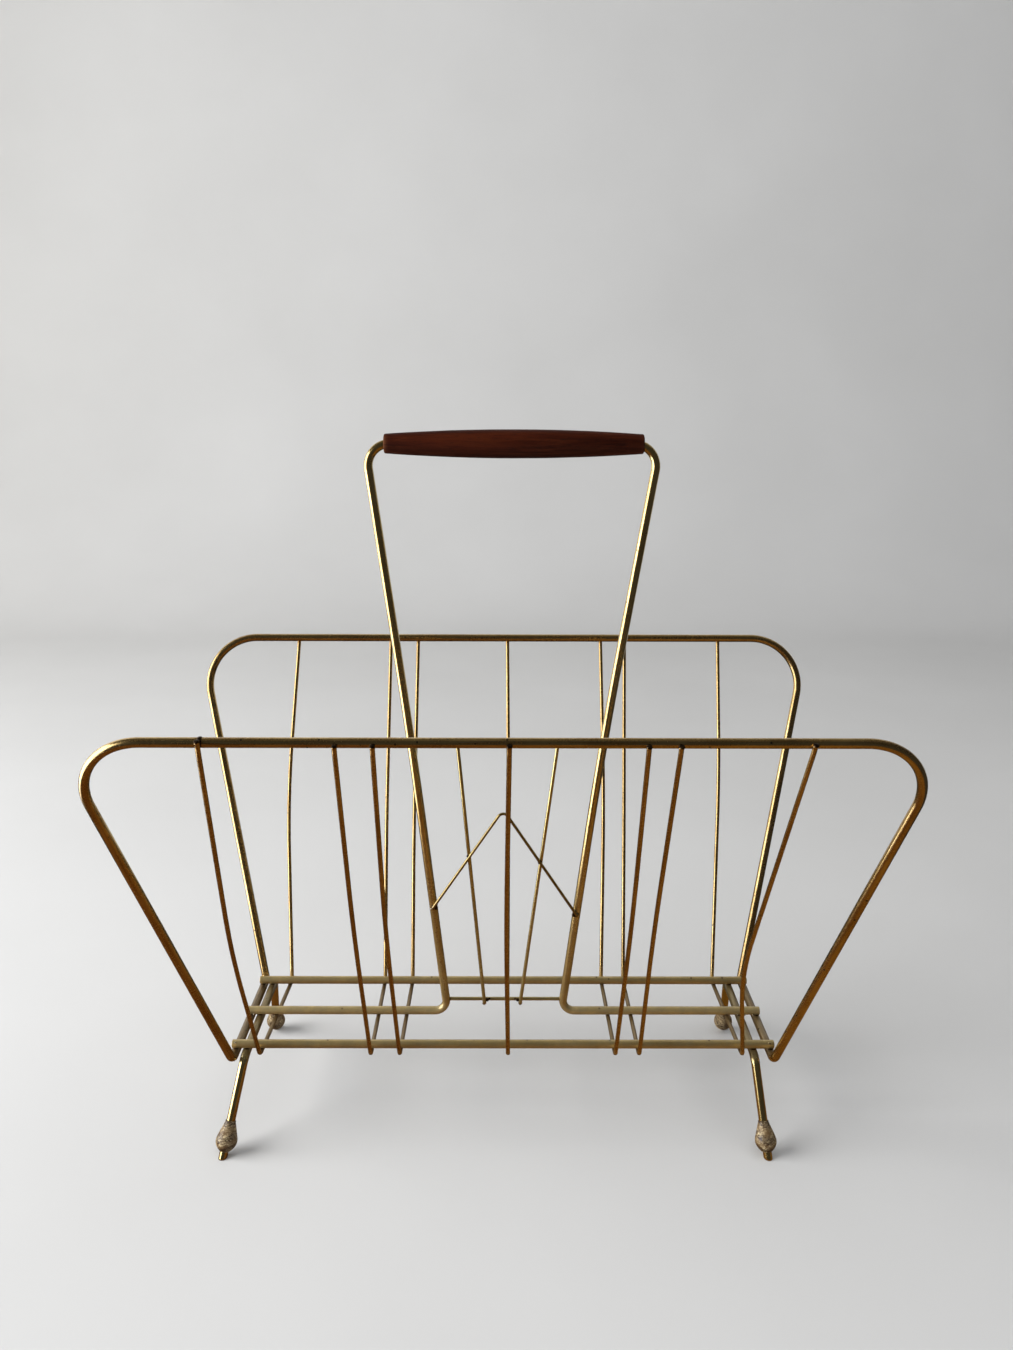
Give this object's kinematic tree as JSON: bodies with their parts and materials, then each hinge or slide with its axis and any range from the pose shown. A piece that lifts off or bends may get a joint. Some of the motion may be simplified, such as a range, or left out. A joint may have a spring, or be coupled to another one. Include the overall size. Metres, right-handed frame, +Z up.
{
  "type": "magazine rack",
  "caption": "Open magazine rack of bent and welded brass rod with two leaning side panels, a rod floor on splayed legs, and a tall dividing handle with a wooden grip.",
  "frame": {"origin": "on the floor plane below the middle of the bounding box", "axes": "+Z up, +X along the rack's length towards the right end, +Y from the front panel to the rear panel"},
  "size_m": [0.4056, 0.2427, 0.4079],
  "materials": {
    "hoop_brass": "satin, patinated",
    "string_brass": "satin, patinated",
    "floor_brass": "satin, dulled",
    "leg_brass": "polished, lightly worn",
    "handle_brass": "polished, lightly worn",
    "divider_brass": "satin",
    "foot_wood": "gold paint, worn through",
    "grip_wood": "satin lacquer"
  },
  "bodies": {
    "rack": {"front_hoop": "hoop_brass", "rear_hoop": "hoop_brass", "string_wire_1": "string_brass", "string_wire_2": "string_brass", "string_wire_3": "string_brass", "string_wire_4": "string_brass", "string_wire_5": "string_brass", "string_wire_6": "string_brass", "string_wire_7": "string_brass", "front_floor_rail": "floor_brass", "rear_floor_rail": "floor_brass", "leg_rod_left": "leg_brass", "leg_rod_right": "leg_brass", "foot_front_left": "foot_wood", "foot_front_right": "foot_wood", "foot_rear_left": "foot_wood", "foot_rear_right": "foot_wood", "handle_rod": "handle_brass", "divider_crossbar_lower": "divider_brass", "divider_crossbar_upper": "divider_brass", "divider_upright_left": "divider_brass", "divider_upright_right": "divider_brass", "divider_chevron": "divider_brass"},
    "grip": {"grip": "grip_wood"}
  },
  "joints": [
    {"name": "grip_spin", "type": "hinge", "parent": "rack", "child": "grip", "pos_m": [0.0053, 0, 0.4002], "axis": [1, 0, 0], "continuous": true}
  ]
}
